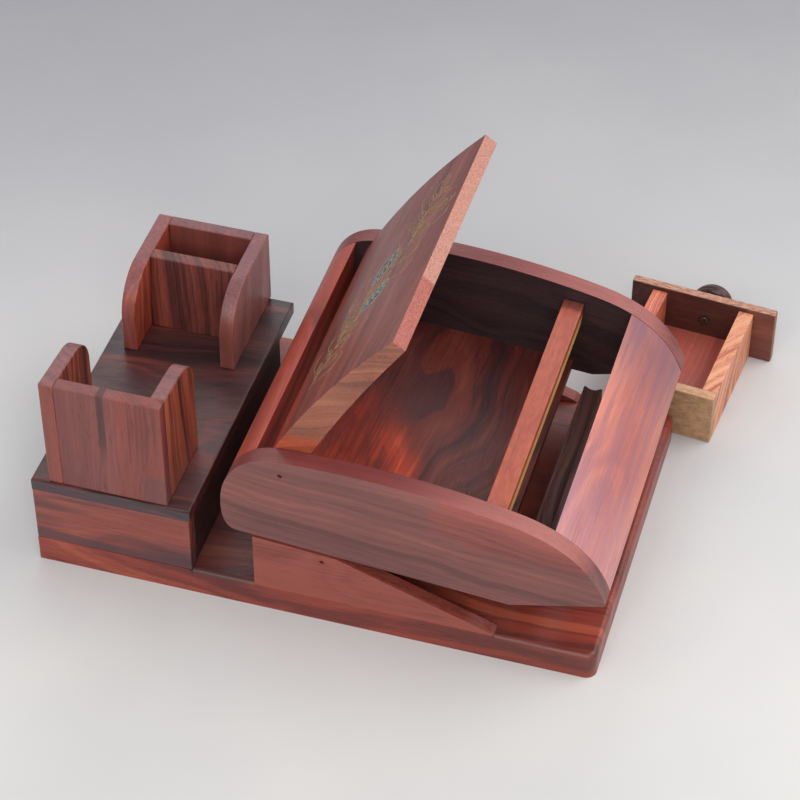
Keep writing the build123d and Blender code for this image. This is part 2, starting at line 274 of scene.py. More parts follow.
ROSEWOOD = rosewood_group()

# Dark, middle, light and ink of each cut of wood.
PALETTES = {
    "base_top": (tone(104, 38, 30), tone(136, 54, 41), tone(160, 76, 54), tone(54, 24, 24)),
    "front_board": (tone(98, 44, 38), tone(130, 62, 52), tone(154, 80, 62), tone(56, 34, 42)),
    "night": (tone(50, 25, 25), tone(74, 38, 36), tone(108, 50, 43), tone(28, 17, 20)),
    # A darker copy of night: painted shade for the housing's side boards.
    "night_in_shade": (tone(34, 20, 21), tone(48, 27, 27), tone(68, 34, 30), tone(20, 14, 17)),
    "holder": (tone(96, 48, 48), tone(122, 64, 62), tone(136, 76, 68), tone(60, 32, 34)),
    "cheek": (tone(92, 40, 32), tone(154, 76, 56), tone(186, 100, 70), tone(52, 27, 26)),
    "rear_cheek": (tone(112, 44, 32), tone(158, 68, 48), tone(182, 90, 66), tone(58, 28, 28)),
    "rear_right": (tone(106, 58, 55), tone(140, 80, 75), tone(160, 96, 86), tone(62, 36, 38)),
    "rear_dark": (tone(78, 34, 30), tone(112, 52, 44), tone(140, 68, 54), tone(46, 22, 24)),
    "wedge": (tone(118, 53, 43), tone(142, 69, 57), tone(154, 80, 64), tone(92, 42, 36)),
    "panel": (tone(96, 54, 52), tone(120, 70, 66), tone(142, 84, 78), tone(78, 50, 54)),
    "rear_panel": (tone(96, 46, 44), tone(132, 66, 60), tone(152, 80, 70), tone(60, 36, 40)),
    "left_wall": (tone(128, 44, 34), tone(168, 68, 50), tone(188, 88, 64), tone(84, 40, 40)),
    "floor": (tone(116, 39, 29), tone(170, 58, 35), tone(210, 86, 48), tone(66, 34, 34)),
    "divider": (tone(160, 76, 56), tone(182, 90, 66), tone(200, 110, 82), tone(118, 48, 40)),
    "nose": (tone(158, 80, 76), tone(186, 104, 92), tone(208, 124, 104), tone(138, 86, 94)),
    "lid": (tone(108, 54, 46), tone(136, 70, 60), tone(154, 86, 72), tone(88, 50, 54)),
    "blade": (tone(66, 42, 40), tone(92, 60, 56), tone(112, 76, 70), tone(44, 32, 33)),
    "old_glue": (tone(44, 24, 21), tone(66, 36, 31), tone(88, 50, 42), tone(26, 17, 17)),
    "drawer": (tone(174, 98, 68), tone(214, 142, 108), tone(224, 160, 124), tone(126, 70, 52)),
    "drawer_left": (tone(170, 82, 60), tone(212, 114, 88), tone(226, 136, 108), tone(128, 62, 50)),
    "drawer_near": (tone(140, 104, 74), tone(180, 138, 102), tone(204, 164, 124), tone(104, 72, 50)),
    "drawer_floor": (tone(148, 64, 52), tone(178, 88, 74), tone(194, 106, 88), tone(120, 52, 46)),
    "drawer_face": (tone(86, 46, 34), tone(124, 76, 54), tone(156, 108, 76), tone(58, 32, 26)),
    "knob": (tone(48, 22, 19), tone(72, 33, 28), tone(98, 50, 40), tone(28, 15, 15)),
}


def shaded(name):
    """Material with an output, a shader and a graph to hang the rest on."""
    material = bpy.data.materials.new(name)
    material.use_nodes = True
    material.node_tree.nodes.clear()
    g = Graph(material.node_tree)
    shader = g.add("BsdfPrincipled")
    g.add("OutputMaterial", {"Surface": shader.outputs[0]})
    return material, g, shader


def wire_surface(g, shader, colour, roughness, height, strength, depth):
    """Wires colour, roughness and a bump whose depth is in mm into the shader."""
    g.link(colour, shader, "Base Color")
    g.link(roughness, shader, "Roughness")
    bump = g.add("Bump", {"Height": height, "Strength": strength, "Distance": depth * MM})
    g.link(bump.outputs[0], shader, "Normal")


def board_mapping(g, grain, face, heart, seed):
    """Grain space: Z along the grain, X out of the board's face, origin at the log's heart."""
    along = grain.normalized()
    out = (face - along * face.dot(along)).normalized()
    side = along.cross(out)
    spin = Matrix((out, side, along))
    where = g.add("TexCoord").outputs["Object"]
    stretch_of_log = 0.37
    place = Vector((heart[0], heart[1], seed * stretch_of_log))
    values = {"Vector": where, "Rotation": spin.to_euler("XYZ"), "Location": place}
    return g.add("Mapping", values, vector_type="POINT").outputs[0]


def board(name, palette, grain, face, heart=(0.04, 0.01), seed=1.0, extra=None, **looks):
    """Rosewood for one board.

    grain and face are directions at rest. heart is how far the frame's origin lies from the
    log's heart, in metres out of the face and sideways, and seed picks a stretch of the log.
    extra changes the colour in places, and looks are inputs of the rosewood group.
    """
    material, g, shader = shaded(name)
    space = board_mapping(g, grain, face, heart, seed)
    wood = g.add("Group", node_tree=ROSEWOOD)
    g.link(space, wood, "Grain")
    for socket, colour in zip(("Dark", "Middle", "Light", "Ink"), PALETTES[palette]):
        wood.inputs[socket].default_value = colour
    for label, value in looks.items():
        wood.inputs[label.replace("_", " ").title()].default_value = value
    colour = wood.outputs["Color"]
    if extra is not None:
        colour = extra(g, colour, space)
    wire_surface(g, shader, colour, wood.outputs["Roughness"], wood.outputs["Height"], 0.55, 0.12)
    shader.inputs["IOR"].default_value = 1.5
    shader.inputs["Coat Weight"].default_value = 0.12
    shader.inputs["Coat Roughness"].default_value = 0.3
    return material


def dress(node, material, bevel=0.5, segments=3):
    """Gives a CAD node its material and eases its edges by bevel mm, by modifiers alone."""
    piece = nodes[node]
    piece.data.materials.clear()
    piece.data.materials.append(material)
    # Triangles of one flat face are joined first, so that only true corners are rounded.
    weld = piece.modifiers.new("weld", "WELD")
    weld.merge_threshold = 1e-6
    flat = piece.modifiers.new("flat", "DECIMATE")
    flat.decimate_type = "DISSOLVE"
    flat.angle_limit = math.radians(0.4)
    if bevel:
        ease = piece.modifiers.new("ease", "BEVEL")
        ease.width = bevel * MM
        ease.segments = segments
        ease.limit_method = "ANGLE"
        ease.angle_limit = math.radians(32)
        ease.harden_normals = False
    smooth = piece.modifiers.new("smooth", "WEIGHTED_NORMAL")
    smooth.keep_sharp = True


# ---------------------------------------------------------------- local colour changes
def by_position(g, axis, low, high):
    """0 to 1 along one of the frame's axes, between two places in metres."""
    where = g.add("SeparateXYZ", {0: g.add("TexCoord").outputs["Object"]})
    return g.step(where.outputs["XYZ".index(axis)], low, high)


def facing(g, direction, low, high):
    """0 to 1 as faces turn towards a direction, as they stand at rest, in whatever pose."""
    normal = g.add("TexCoord").outputs["Normal"]
    towards = g.add("VectorMath", {0: normal, 1: tuple(direction)}, operation="DOT_PRODUCT")
    return g.step(towards.outputs["Value"], low, high)


def grit(g, space, across, along, low=0.35, high=0.65, roughness=0.5, detail=3.0):
    """Fine mottle, as on sawn wood."""
    return g.step(g.noise(g.stretch(space, across, along), 1.0, detail, roughness), low, high)


def ragged(g, share, space, scale, amount):
    """Breaks up a position mask with slow noise so that it has no drawn edge."""
    field = g.noise(g.stretch(space, scale, scale * 0.35), 1.0, 4.0, 0.6)
    return g.step(g.math("ADD", share, g.around(field, amount)), 0.35, 0.65)


def scaled(g, colour, share, factor):
    """Colour multiplied by a factor where the share is 1."""
    return g.mix(share, colour, g.mix(1.0, colour, (*factor, 1.0), "MULTIPLY"))


def glue_line(g, colour, space):
    """Dark specks of glue and dirt along the foot of the front wedge."""
    low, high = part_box("front_wedge")
    where = g.add("SeparateXYZ", {0: g.add("TexCoord").outputs["Object"]})
    depth = g.math("ABSOLUTE", g.math("SUBTRACT", where.outputs["Y"], high.y + 1.2 * MM))
    near = g.step(depth, 0.2 * MM, 2.2 * MM, 1.0, 0.0)
    left_end = by_position(g, "X", low.x, low.x + 4 * MM)
    right_end = by_position(g, "X", high.x + 4 * MM, high.x - 4 * MM)
    specks = grit(g, space, 2200, 1500, 0.42, 0.60)
    grime = g.product(near, left_end, right_end, specks, 0.8)
    return g.mix(grime, colour, tone(40, 24, 22))


def base_shade_and_glue(g, colour, space):
    """Painted shade on the base in the corner between the housing and the front wedge, then the glue
    specks along the wedge's foot.
    """
    housing_end, wedge_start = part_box("housing_right_board")[1].x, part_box("front_wedge")[0].x
    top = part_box("base_board")[1].z
    upper = by_position(g, "Z", top - 1.6 * MM, top - 0.4 * MM)
    left_of_wedge = by_position(g, "X", wedge_start + 1 * MM, wedge_start - 2 * MM)
    right_of_housing = by_position(g, "X", housing_end - 2 * MM, housing_end)
    # Painted shade darkens this corner of the base.
    corner = ragged(g, g.product(left_of_wedge, right_of_housing, upper), space, 160, 0.2)
    return glue_line(g, scaled(g, colour, corner, (0.52, 0.72, 0.86)), space)


def floor_shade_fade(g, colour, space):
    """The compartment's floor runs from orange-red at the hinge to a dark violet brown, which is
    painted shade towards its right and its back.
    """
    low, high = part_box("box_floor")
    right = by_position(g, "X", low.x + 8 * MM, high.x - 4 * MM)
    back = by_position(g, "Y", low.y + 12 * MM, high.y - 20 * MM)
    # Painted shade, stronger to the right and to the back.
    share = g.math("ADD", g.math("MULTIPLY", right, 0.7), g.math("MULTIPLY", back, 0.55))
    return scaled(g, colour, ragged(g, share, space, 60, 0.5), (0.34, 0.52, 0.9))


def divider_sapwood_and_highlight(g, colour, space):
    """Yellow along the lower part of the divider's right face, partly sapwood and partly a painted
    highlight where that face is lit.
    """
    low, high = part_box("box_divider")
    down = ragged(g, by_position(g, "Z", high.z - 3.0 * MM, high.z - 4.6 * MM), space, 260, 0.25)
    right = by_position(g, "X", (low.x + high.x) / 2 + 0.5 * MM, high.x - 2 * MM)
    patchy = grit(g, space, 130, 30, 0.3, 0.42)
    specks = grit(g, space, 1800, 700, 0.45, 0.7, detail=2.0)
    # The yellow is partly sapwood and partly painted highlight.
    yellow = g.mix(specks, tone(244, 200, 116), tone(226, 172, 96))
    mottle = grit(g, space, 700, 260, 0.36, 0.62, 0.65, 4.0)
    colour = g.mix(g.math("MULTIPLY", mottle, 0.5), colour, tone(146, 68, 56))
    # Darker towards the far end.
    far = ragged(g, by_position(g, "Y", high.y - 8 * MM, high.y + 1 * MM), space, 200, 0.5)
    colour = scaled(g, colour, far, (0.45, 0.45, 0.5))
    return g.mix(g.product(down, right, patchy, 0.95), colour, yellow)


def lid_ends(g, colour, space):
    """The lid's free edge is pale pinkish sawn wood, redder near the front."""
    low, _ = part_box("lid_panel")
    sawn = facing(g, LID_ALONG, 0.55, 0.8)
    far = ragged(g, by_position(g, "Y", low.y + 24 * MM, low.y + 29 * MM), space, 120, 0.2)
    specks = grit(g, space, 2400, 2000)
    pale = g.mix(specks, tone(176, 112, 95), tone(202, 144, 124))
    rosy = g.mix(specks, tone(156, 74, 62), tone(184, 102, 86))
    colour = g.mix(g.math("MULTIPLY", sawn, 0.9), colour, g.mix(far, rosy, pale))
    return scaled(g, colour, facing(g, -Y, 0.7, 0.9), (1.22, 1.5, 1.12))


def lid_glow(g, colour, space):
    """Orange-red towards the hinge and the front of the lid's outer face, then its edges."""
    low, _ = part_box("lid_panel")
    down = by_position(g, "Z", low.z + 26 * MM, low.z + 4 * MM)
    front = by_position(g, "Y", low.y + 55 * MM, low.y + 8 * MM)
    share = ragged(g, g.product(down, front), space, 60, 0.6)
    warm = scaled(g, colour, g.math("MULTIPLY", share, 0.75), (1.5, 0.82, 0.6))
    return lid_ends(g, warm, space)


def panel_rims_and_sheen(g, colour, space):
    """Upper rims of the side panels are redder at the hinge and paler near the nose; the paler tone
    and the bright specks are partly a painted sheen on the upward faces.
    """
    low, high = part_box("box_front_panel")
    right = by_position(g, "X", low.x + 45 * MM, high.x - 20 * MM)
    rim = g.mix(right, tone(112, 42, 40), tone(164, 96, 90))
    rim = scaled(g, rim, grit(g, space, 900, 60), (1.18, 1.12, 1.1))
    # The rim colour goes on upward faces and is partly painted sheen.
    return g.mix(g.math("MULTIPLY", facing(g, Z, 0.55, 0.8), 0.72), colour, rim)


def front_panel_look(g, colour, space):
    """Orange streaks in the upper right of the front panel, then its rim."""
    low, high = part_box("box_front_panel")
    right = by_position(g, "X", low.x + 45 * MM, high.x - 30 * MM)
    up = by_position(g, "Z", low.z + 12 * MM, low.z + 24 * MM)
    share = ragged(g, g.product(right, up), space, 240, 0.9)
    warm = scaled(g, colour, g.math("MULTIPLY", share, 0.75), (1.35, 0.92, 0.82))
    return panel_rims_and_sheen(g, warm, space)


def rear_inner_shade(g, colour, space):
    """Painted shade darkens the rear panel's inner face; its rim is left as it is."""
    dark = scaled(g, colour, facing(g, -Y, 0.6, 0.9), (0.17, 0.36, 0.50))
    return panel_rims_and_sheen(g, dark, space)


def nose_streaks_and_sheen(g, colour, space):
    """Long lavender streaks down the nose, which is darker towards the back and has a painted
    lavender sheen in front.
    """
    streak = grit(g, space, 340, 15, 0.48, 0.64, 0.6, 4.0)
    colour = g.mix(g.math("MULTIPLY", streak, 0.55), colour, tone(150, 92, 102))
    low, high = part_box("box_nose")
    middle = low.y + 45 * MM
    colour = scaled(g, colour, by_position(g, "Y", middle, high.y), (0.66, 0.80, 0.98))
    # Painted sheen: paler and more lavender towards the front.
    return scaled(g, colour, by_position(g, "Y", middle, low.y), (1.05, 1.45, 1.78))


def holder_stain(g, colour, space):
    """The front holder's board: warmer on its right, a dark streak, a grey patch at its foot."""
    low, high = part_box("front_holder_board")
    middle = (low.x + high.x) / 2
    warm = ragged(g, by_position(g, "X", middle + 1 * MM, middle + 3 * MM), space, 120, 0.25)
    colour = scaled(g, colour, warm, (1.14, 0.98, 0.8))
    right = by_position(g, "X", high.x - 9 * MM, high.x - 4 * MM)
    foot = by_position(g, "Z", low.z + 13 * MM, low.z + 6 * MM)
    grey = ragged(g, g.product(right, foot), space, 180, 0.5)
    across = by_position(g, "X", middle - 6 * MM, middle + 2 * MM)
    off_centre = g.math("ABSOLUTE", g.math("SUBTRACT", across, 0.5))
    streak = ragged(g, g.step(off_centre, 0.06, 0.3, 1.0, 0.0), space, 160, 0.5)
    above_foot = by_position(g, "Z", low.z + 8 * MM, low.z + 22 * MM)
    colour = g.mix(g.product(streak, above_foot, 0.7), colour, tone(54, 32, 36))
    return g.mix(g.math("MULTIPLY", grey, 0.45), colour, tone(92, 62, 66))


def cheek_top_sheen_and_ends(g, colour, space):
    """The holders' cheeks get a painted violet sheen on their upward tops, cooler than their faces,
    and redder front ends.
    """
    field = g.noise(g.stretch(space, 1100, 1100), 1.0, 3.0)
    top = g.mix(g.step(field, 0.3, 0.7), tone(106, 62, 64), tone(126, 80, 84))
    # Painted sheen on the upward faces.
    colour = g.mix(g.math("MULTIPLY", facing(g, Z, 0.4, 0.8), 0.75), colour, top)
    front = g.math("MULTIPLY", facing(g, -Y, 0.8, 0.95), 0.7)
    return g.mix(front, colour, g.mix(field, tone(112, 56, 52), tone(134, 72, 62)))


def housing_streaks(g, colour, space):
    """Long wavy navy streaks, mostly in the lower half of the housing's front."""
    low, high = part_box("housing_front_board")
    down = by_position(g, "Z", high.z - 2 * MM, low.z + 3 * MM)
    wave = g.noise(g.stretch(space, 170, 13), 1.0, 3.0, 0.5)
    streak = g.step(g.math("ADD", wave, g.math("MULTIPLY", down, 0.13)), 0.56, 0.70)
    return g.mix(g.math("MULTIPLY", streak, 0.72), colour, tone(66, 46, 54))


def top_front_edge(g, colour, space):
    """Blue-grey cast on the front-facing edge of the housing's top board."""
    share = g.math("MULTIPLY", facing(g, -Y, 0.5, 0.9), 0.55)
    return g.mix(share, colour, tone(64, 58, 66))


def drawer_front_look(g, colour, space):
    """The drawer's front has painted shade, near black, on its inner face between the sides and less
    beyond them, and is pale along its sawn top.
    """
    inside = facing(g, -DRAWER_ALONG, 0.7, 0.9)
    right_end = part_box("drawer_face")[1].x
    between_sides = by_position(g, "X", right_end - 7.5 * MM, right_end - 9.5 * MM)
    # Painted shade on the inner face inside the drawer.
    colour = scaled(g, colour, g.product(inside, between_sides), (0.32, 0.26, 0.38))
    beyond_side = by_position(g, "X", right_end - 8.5 * MM, right_end - 7.5 * MM)
    colour = scaled(g, colour, g.product(inside, beyond_side), (0.72, 0.50, 0.55))
    sawn = g.mix(grit(g, space, 1800, 500), tone(150, 96, 76), tone(200, 150, 124))
    return g.mix(g.math("MULTIPLY", facing(g, Z, 0.6, 0.85), 0.9), colour, sawn)


def drawer_near_look(g, colour, space):
    """Mottled greenish-tan board with a paler sawn top."""
    mottle = grit(g, space, 700, 420, 0.3, 0.7, 0.65, 4.0)
    colour = g.mix(0.55, colour, g.mix(mottle, tone(128, 98, 68), tone(190, 150, 108)))
    return scaled(g, colour, facing(g, Z, 0.6, 0.85), (1.25, 1.18, 1.25))


# ---------------------------------------------------------------- boards of the base
dress("base_board", board(
    "base", "base_top", X + Y * 0.06, Z, (0.052, 0.012), 1.0, base_shade_and_glue,
    ring_scale=0.9, ink_amount=0.42, bands=0.8, roughness=0.36, wear=0.5), 0.35)
dress("housing_front_board", board(
    "housing_front", "front_board", X, -Y, (0.05, 0.006), 2.0, housing_streaks,
    ink_amount=0.55, bands=0.8), 0.35)
# The housing's side boards take the darker palette as painted shade.
dress("housing_left_board", board("housing_left", "night_in_shade", Y, -X, (0.04, 0.02), 3.0), 0.35)
dress("housing_right_board", board("housing_right", "night_in_shade", Y, X, (0.04, 0.02), 4.0), 0.35)
dress("housing_top_board", board(
    "housing_top", "night", X + Y * 0.12, Z, (0.028, -0.01), 5.0, top_front_edge,
    ring_scale=0.8, bands=1.25, roughness=0.34), 0.0)
dress("front_holder_board", board(
    "front_holder_board", "holder", Z, -Y, (0.05, 0.012), 6.0, holder_stain,
    bands=0.6, ink_amount=0.4), 0.35)
dress("front_holder_left_cheek", board(
    "front_cheek_left", "cheek", Z, X, (0.045, 0.0), 7.0, cheek_top_sheen_and_ends, ink_amount=0.9), 0.4)
dress("front_holder_right_cheek", board(
    "front_cheek_right", "cheek", Z, X, (0.04, 0.008), 8.0, cheek_top_sheen_and_ends, ink_amount=0.9), 0.4)
dress("rear_holder_left_cheek", board(
    "rear_cheek_left", "rear_cheek", Z, X, (0.04, 0.004), 9.0, cheek_top_sheen_and_ends, ink_amount=0.5), 0.4)
dress("rear_holder_right_cheek", board(
    "rear_cheek_right", "rear_right", Z + Y * 0.3, X, (0.034, 0.0), 10.0, cheek_top_sheen_and_ends,
    ink_amount=0.6), 0.4)
dress("rear_holder_front_board", board(
    "rear_holder_front", "rear_dark", Z, -Y, (0.05, 0.01), 11.0, None, bands=1.2), 0.3)
dress("rear_holder_back_board", board(
    "rear_holder_back", "rear_dark", Z, -Y, (0.05, -0.01), 12.0, cheek_top_sheen_and_ends), 0.35)
dress("front_wedge", board(
    "front_wedge", "wedge", X, -Y, (0.06, 0.01), 13.0, None, ink_amount=0.2, bands=0.6), 0.25)
dress("rear_wedge", board(
    "rear_wedge", "wedge", X, -Y, (0.06, -0.01), 14.0, None, ink_amount=0.3, bands=0.7), 0.25)
dress("lifter_blade", board("blade", "blade", Y, X, (0.04, 0.01), 15.0, None, roughness=0.62), 0.2)

# ---------------------------------------------------------------- rocking box
dress("box_front_panel", board(
    "front_panel", "panel", BOX_ALONG, -Y, (0.04, 0.0), 16.0, front_panel_look,
    ink_amount=0.45, ring_scale=1.1, bands=1.1, figure=0.5), 0.7)
dress("box_rear_panel", board(
    "rear_panel", "rear_panel", BOX_ALONG, Y, (0.04, 0.01), 17.0, rear_inner_shade, ink_amount=0.4), 0.7)
dress("box_left_wall", board(
    "left_wall", "left_wall", Y, -X, (0.045, 0.008), 18.0, None, ink_amount=0.35), 0.3)
dress("box_nose", board(
    "nose", "nose", Y + X * 0.03, BOX_UP, (0.05, 0.02), 19.0, nose_streaks_and_sheen,
    ink_amount=0.3, bands=0.55, figure=0.5, roughness=0.34), 0.3)
dress("box_floor", board(
    "compartment_floor", "floor", Y + X * 0.07, Z, (0.05, 0.006), 20.0, floor_shade_fade,
    ink_amount=0.6, bands=1.1), 0.0)
dress("box_divider", board(
    "divider", "divider", Y, BOX_UP, (0.04, 0.004), 21.0, divider_sapwood_and_highlight,
    ink_amount=0.15, bands=0.6, pores=0.3), 0.3)
dress("pivot_beam", board("beam", "rear_dark", Y, Z, (0.04, 0.01), 22.0), 0.4)

# ---------------------------------------------------------------- lid
dress("lid_panel", board(
    "lid", "lid", Y + LID_ALONG * 0.1, LID_OUT, (0.045, 0.008), 23.0, lid_glow,
    ink_amount=0.45, bands=0.85, roughness=0.36), 0.45)

# ---------------------------------------------------------------- drawer
dress("drawer_left_side", board(
    "drawer_left", "drawer_left", DRAWER_ALONG + Z * 0.3, DRAWER_ACROSS, (0.03, 0.002), 24.0, None,
    ink_amount=0.4, bands=1.1, ring_scale=1.5, roughness=0.55, wear=0.3), 0.25)
dress("drawer_right_side", board(
    "drawer_right", "drawer", DRAWER_ALONG + DRAWER_ACROSS * 0.42 + Z * 0.3, Z, (0.03, -0.004), 25.0,
    None, ink_amount=0.75, bands=1.5, ring_scale=2.2, figure=0.6, roughness=0.55, wear=0.3), 0.25)
dress("drawer_back", board(
    "drawer_near", "drawer_near", DRAWER_ACROSS, -DRAWER_ALONG, (0.03, 0.006), 26.0,
    drawer_near_look, ink_amount=0.15, bands=0.5, roughness=0.55, wear=0.9), 0.25)
dress("drawer_floor", board(
    "drawer_floor", "drawer_floor", DRAWER_ALONG, Z, (0.05, 0.006), 27.0, None,
    ink_amount=0.3, bands=0.6, roughness=0.55), 0.0)
dress("drawer_face", board(
    "drawer_face", "drawer_face", DRAWER_ACROSS, -DRAWER_ALONG, (0.03, 0.008), 28.0,
    drawer_front_look, ink_amount=0.7, ring_scale=1.3, roughness=0.5, wear=0.8), 0.3)


# ---------------------------------------------------------------- metal, shell and gilding
def brushed_metal(name, bright, dark, roughness, scale=900.0, metallic=1.0):
    """Tarnished and lightly scratched. A low metallic value makes it dull gilding or filler."""
    material, g, shader = shaded(name)
    where = g.add("TexCoord").outputs["Object"]
    tarnish = g.noise(where, scale, 4.0, 0.6)
    scratches = g.noise(g.stretch(where, scale * 6, scale * 0.6), 1.0, 3.0, 0.6)
    colour = g.mix(g.step(tarnish, 0.35, 0.68), dark, bright)
    gloss = g.math("ADD", g.math("MULTIPLY", scratches, 0.3), roughness - 0.15, clamp=True)
    wire_surface(g, shader, colour, gloss, scratches, 0.3, 0.03)
    shader.inputs["Metallic"].default_value = metallic
    return material


def shell_inlay():
    """Polished shell: blue-grey cells with darker seams and a faint green cast."""
    material, g, shader = shaded("shell")
    where = g.add("TexCoord").outputs["Object"]
    swirl = g.noise(where, 420.0, 4.0, 0.6)
    cells = g.add("TexVoronoi", {"Vector": where, "Scale": 620.0}, feature="F1").outputs["Distance"]
    colour = g.mix(g.step(swirl, 0.35, 0.65), tone(24, 30, 38), tone(74, 88, 98))
    hue = g.noise(where, 260.0, 2.0)
    colour = g.mix(g.math("MULTIPLY", g.step(hue, 0.5, 0.66), 0.5), colour, tone(70, 92, 86))
    colour = g.mix(g.step(cells, 0.5, 0.75), colour, tone(40, 44, 48))
    gloss = g.math("ADD", g.math("MULTIPLY", swirl, 0.25), 0.28)
    wire_surface(g, shader, colour, gloss, swirl, 0.3, 0.05)
    return material


STEEL = brushed_metal("dull_steel", tone(120, 112, 106), tone(58, 48, 44), 0.5)
GILT = brushed_metal("gilt_line", tone(176, 152, 108), tone(132, 106, 76), 0.6, 1400.0, 0.1)
PALE_LINE = brushed_metal("pale_line", tone(186, 188, 180), tone(136, 136, 130), 0.55, 1400.0, 0.1)
for brads in ("lid_brads", "pivot_brads"):
    dress(brads, STEEL, 0.08, 2)
dress("lid_leaf_inlay", shell_inlay(), 0.05, 2)


# ---------------------------------------------------------------- pieces added round the frame
def placed(name, data):
    """A new object in the scene."""
    thing = bpy.data.objects.new(name, data)
    bpy.context.scene.collection.objects.link(thing)
    return thing


def meshed(name, shell, material):
    """A new mesh object from a bmesh, which is used up."""
    data = bpy.data.meshes.new(name)
    shell.to_mesh(data)
    shell.free()
    data.materials.append(material)
    return placed(name, data)


def mesh_piece(name, shell, body, material):
    """Turns a bmesh into a smooth piece that rides on a CAD body."""
    bmesh.ops.recalc_face_normals(shell, faces=shell.faces)
    piece = meshed(name, shell, material)
    for polygon in piece.data.polygons:
        polygon.use_smooth = True
    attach(piece, body)
    return piece


def surface_of(*names):
    """The faces of several CAD nodes, to be met by rays."""
    points, faces = [], []
    for name in names:
        start = len(points)
        points += [vertex.co.copy() for vertex in nodes[name].data.vertices]
        faces += [[start + i for i in polygon.vertices] for polygon in nodes[name].data.polygons]
    return BVHTree.FromPolygons(points, faces)


def skinned(shell, rows):
    """Joins rows of corners into a closed tube with capped ends."""
    rings = [[shell.verts.new(corner) for corner in row] for row in rows]
    for low, high in zip(rings, rings[1:]):
        for index in range(len(low)):
            other = (index + 1) % len(low)
            shell.faces.new((low[index], low[other], high[other], high[index]))
    shell.faces.new(rings[0])
    shell.faces.new(list(reversed(rings[-1])))


def ribbon(shell, points, normals, width, height, sink):
    """Low raised strip along points on a surface, tapered at both ends."""
    count = len(points)
    rows = []
    for index, (point, normal) in enumerate(zip(points, normals)):
        ahead = points[min(index + 1, count - 1)] - points[max(index - 1, 0)]
        side = ahead.cross(normal).normalized()
        share = index / (count - 1)
        half = width / 2 * (0.25 + 0.75 * math.sin(math.pi * min(max(share, 0.04), 0.96)) ** 0.6)
        rows.append([
            point - side * half - normal * sink,
            point - side * half * 0.7 + normal * height,
            point + side * half * 0.7 + normal * height,
            point + side * half - normal * sink,
        ])
    skinned(shell, rows)


def leaf_corners():
    """Corners of each inlaid leaf, in mm along and across the lid."""
    islands = bmesh.new()
    islands.from_mesh(nodes["lid_leaf_inlay"].data)
    bmesh.ops.remove_doubles(islands, verts=islands.verts, dist=1e-6)
    # The dict keeps the mesh's own order, so that every run draws the same veins.
    waiting, leaves = dict.fromkeys(islands.verts), []
    while waiting:
        queue, corners = [next(iter(waiting))], []
        del waiting[queue[0]]
        while queue:
            vertex = queue.pop()
            offset = vertex.co - lid_pin
            corners.append(Vector((offset.dot(LID_ALONG), offset.dot(Y))) / MM)
            neighbours = [edge.other_vert(vertex) for edge in vertex.link_edges]
            for other in neighbours:
                if other in waiting:
                    del waiting[other]
                    queue.append(other)
        leaves.append(corners)
    islands.free()
    return leaves


def leaf_veins():
    """Outline, midrib and side veins of each inlaid leaf, in mm along and across the lid."""
    strokes = []
    for corners in leaf_corners():
        tips = max(
            ((a, b) for a in corners for b in corners), key=lambda pair: (pair[0] - pair[1]).length)
        middle, axis = (tips[0] + tips[1]) / 2, (tips[1] - tips[0]).normalized()
        side = Vector((-axis.y, axis.x))
        half = (tips[1] - tips[0]).length / 2
        girth = max(abs((corner - middle).dot(side)) for corner in corners)
        for bow in (-1, 0, 1):
            steps = [i / 16 * 2 - 1 for i in range(17)]
            strokes.append([
                middle + axis * half * t + side * bow * girth * (1 - t * t) for t in steps])
        for t in (-0.5, -0.15, 0.2, 0.5):
            for bow in (-1, 1):
                reach = girth * (1 - t * t) * 0.8
                strokes.append([
                    middle + axis * half * (t + 0.22 * k / 6) + side * bow * reach * k / 6
                    for k in range(7)])
    return strokes


def tendril(root, heading, hand, size):
    """A line that leaves its root and curls ever tighter towards one hand."""
    u, v = root
    line = [root]
    for step in range(30):
        share = step / 29
        stride = size / 15 * (1 - 0.78 * share)
        u += stride * math.cos(heading)
        v += stride * math.sin(heading)
        heading -= hand * (0.02 + 0.34 * share * share)
        line.append((u, v))
    return line


def leaf_outline(root, direction, size):
    """Two bowed sides and a midrib, running out from the root."""
    lines = []
    for bow in (-1, 0, 1):
        line = []
        for step in range(13):
            share = step / 12
            forward = size * 0.55 * share
            aside = bow * size * 0.11 * math.sin(math.pi * share)
            line.append((
                root[0] + forward * math.cos(direction) - aside * math.sin(direction),
                root[1] + forward * math.sin(direction) + aside * math.cos(direction),
            ))
        lines.append(line)
    return lines


def vine():
    """One wandering stem with curled tendrils and leaf outlines, in mm along and across the lid."""

    run, rise = 19.0, 27.0

    def stem(t):
        u = 31.0 + run * t + 2.6 * math.sin(5.2 * t)
        v = 1.0 + rise * t - 1.8 * math.cos(4.0 * t)
        return u, v

    strokes = [[stem(-1.12 + 2.06 * i / 60) for i in range(61)]]
    along = math.atan2(rise, run)
    for index in range(23):
        t = -1.08 + 1.98 * index / 22
        hand = 1 if index % 2 else -1
        size = 13.5 + 4.0 * math.sin(index * 1.7 + 0.6)
        heading = along + hand * (1.35 + 0.3 * math.sin(index * 2.3))
        strokes.append(tendril(stem(t), heading, hand, size))
        direction = along - hand * (0.8 + 0.3 * math.sin(index * 1.1))
        strokes += leaf_outline(stem(t + 0.03), direction, size)
    return strokes


